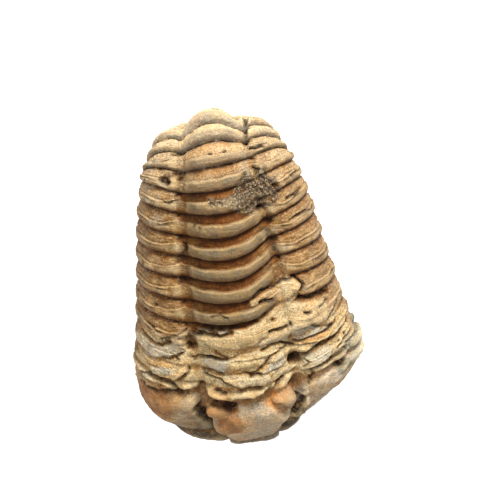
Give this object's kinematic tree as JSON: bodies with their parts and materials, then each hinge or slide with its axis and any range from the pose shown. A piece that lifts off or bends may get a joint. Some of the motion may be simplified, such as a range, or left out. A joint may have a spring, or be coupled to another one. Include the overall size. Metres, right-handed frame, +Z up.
{
  "type": "trilobite fossil",
  "caption": "Partly rolled-up trilobite preserved in stone, with a three-lobed ringed back, a lobed head shield bent down at one end and a tail shield curled under at the other; lies belly down.",
  "frame": {"origin": "centre of the bounding box in x and y, on the plane the fossil lies on (z = 0)", "axes": "+Z up out of the back, +Y toward the tail end, -Y toward the head end, +X to the right when the head points toward the viewer's feet"},
  "size_m": [0.0556, 0.0844, 0.0358],
  "materials": {
    "fossil_stone": "matte, weathered"
  },
  "bodies": {
    "root": {"trilobite": "fossil_stone"}
  },
  "joints": []
}
